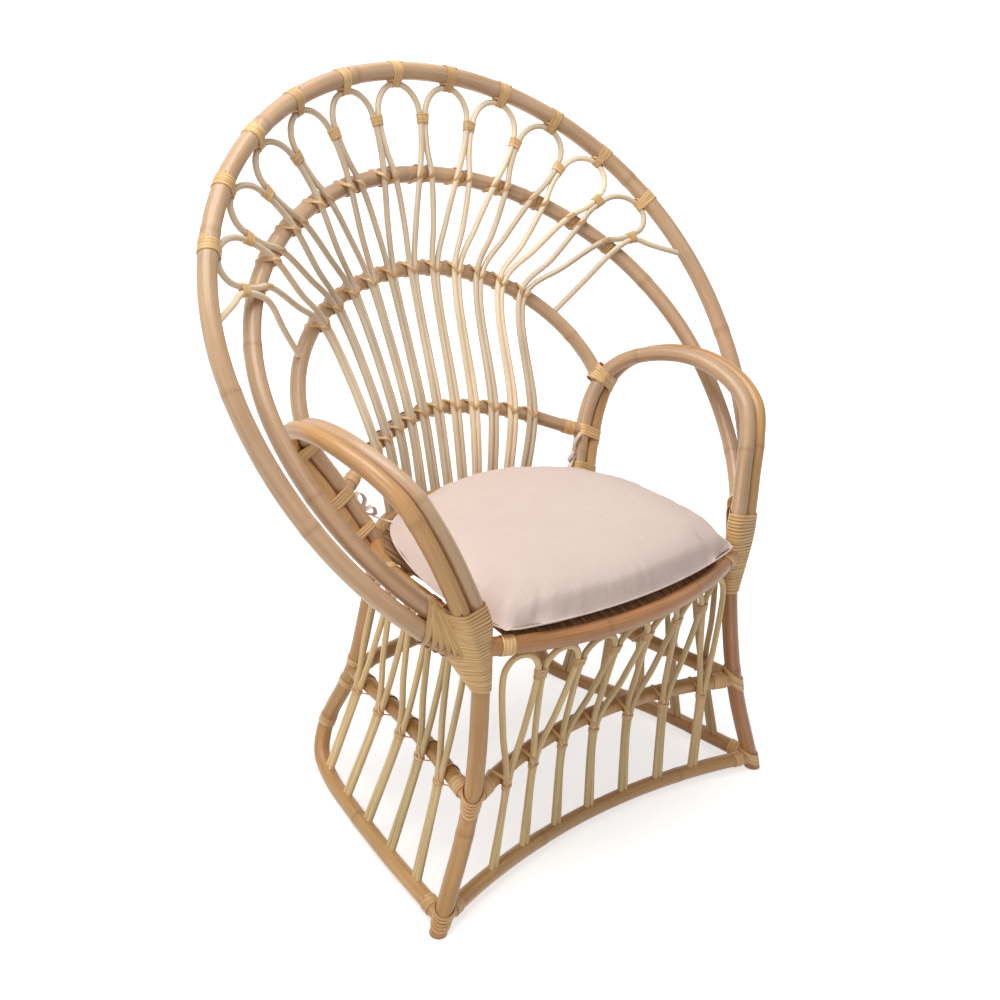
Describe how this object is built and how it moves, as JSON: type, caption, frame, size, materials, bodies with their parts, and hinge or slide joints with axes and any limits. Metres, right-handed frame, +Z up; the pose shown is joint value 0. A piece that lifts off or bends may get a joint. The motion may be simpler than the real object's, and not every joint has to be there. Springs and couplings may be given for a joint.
{
  "type": "rattan peacock chair",
  "caption": "Rattan armchair with a wide leaning fan back of thin looped rods on bent hoops, paired arm poles, a waisted base skirted with looped rods, and a loose seat cushion.",
  "frame": {"origin": "on the floor under the middle of the chair", "axes": "+Z up, the chair faces -Y, and +X is the left side of a person sitting in it"},
  "size_m": [1.0322, 0.7532, 1.0175],
  "materials": {
    "honey_pole": "satin clear coat on peeled pole",
    "chestnut_rail": "satin clear coat on darker peeled pole",
    "straw_rod": "matt core rod",
    "cane_binding": "flat split cane, satin",
    "blush_cotton": "plain woven cotton"
  },
  "bodies": {
    "frame": {"arm_foot_binding_left": "cane_binding", "arm_foot_binding_right": "cane_binding", "arm_inner_left": "honey_pole", "arm_inner_right": "honey_pole", "arm_outer_left": "honey_pole", "arm_outer_right": "honey_pole", "back_rail": "honey_pole", "fan_end_rod_left": "straw_rod", "fan_end_rod_right": "straw_rod", "fan_loop_01": "straw_rod", "fan_loop_02": "straw_rod", "fan_loop_03": "straw_rod", "fan_loop_04": "straw_rod", "fan_loop_05": "straw_rod", "fan_loop_06": "straw_rod", "fan_loop_07": "straw_rod", "fan_loop_08": "straw_rod", "fan_loop_09": "straw_rod", "fan_loop_10": "straw_rod", "fan_loop_11": "straw_rod", "front_bottom_rail": "honey_pole", "front_leg_left": "honey_pole", "front_leg_right": "honey_pole", "front_loop_1": "straw_rod", "front_loop_2": "straw_rod", "front_loop_3": "straw_rod", "front_loop_4": "straw_rod", "front_loop_5": "straw_rod", "front_loop_6": "straw_rod", "front_loop_7": "straw_rod", "front_mid_rail": "honey_pole", "inner_hoop": "honey_pole", "leg_top_binding_left": "cane_binding", "leg_top_binding_right": "cane_binding", "middle_hoop": "honey_pole", "outer_hoop": "honey_pole", "rear_mid_rail": "honey_pole", "seat_bar_front": "chestnut_rail", "seat_bar_rear": "chestnut_rail", "seat_front_rail": "chestnut_rail", "seat_ring": "honey_pole", "seat_slats": "chestnut_rail", "side_loop_left_1": "straw_rod", "side_loop_left_2": "straw_rod", "side_loop_left_3": "straw_rod", "side_loop_left_4": "straw_rod", "side_loop_left_5": "straw_rod", "side_loop_right_1": "straw_rod", "side_loop_right_2": "straw_rod", "side_loop_right_3": "straw_rod", "side_loop_right_4": "straw_rod", "side_loop_right_5": "straw_rod", "side_mid_rail_left": "honey_pole", "side_mid_rail_right": "honey_pole", "side_pole_left": "honey_pole", "side_pole_right": "honey_pole"},
    "seat_cushion": {"cushion": "blush_cotton"}
  },
  "joints": [
    {"name": "cushion_lift", "type": "slide", "parent": "frame", "child": "seat_cushion", "axis": [0, 0, 1], "range_m": [0, 0.3]}
  ]
}
